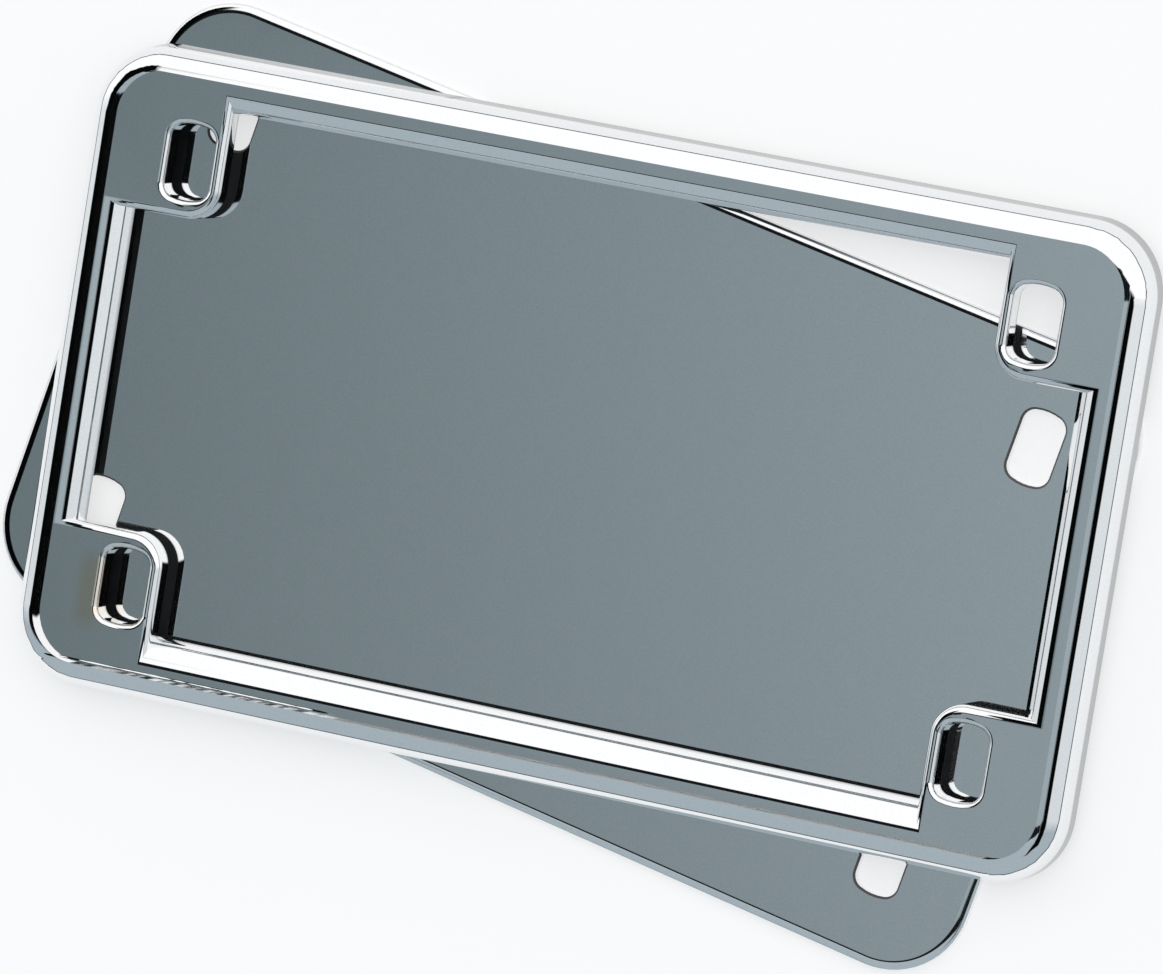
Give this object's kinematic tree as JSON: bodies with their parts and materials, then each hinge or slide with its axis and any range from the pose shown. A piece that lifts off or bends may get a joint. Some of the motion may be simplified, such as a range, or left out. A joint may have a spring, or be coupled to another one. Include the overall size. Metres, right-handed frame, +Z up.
{
  "type": "number plate holder",
  "caption": "Chrome motorcycle number plate set: a hollow cast front frame with slotted corner tabs, laid at an angle on its flat slotted back plate.",
  "frame": {"origin": "on the back plate's underside, straight below the centre of the front frame's four slots", "axes": "+X along the front frame, +Y towards its upper side, +Z up from the surface it lies on"},
  "size_m": [0.1904, 0.132, 0.0086],
  "materials": {
    "cast_chrome": "polished",
    "sheet_chrome": "polished"
  },
  "bodies": {
    "root": {"front_frame": "cast_chrome", "back_plate": "sheet_chrome"}
  },
  "joints": []
}
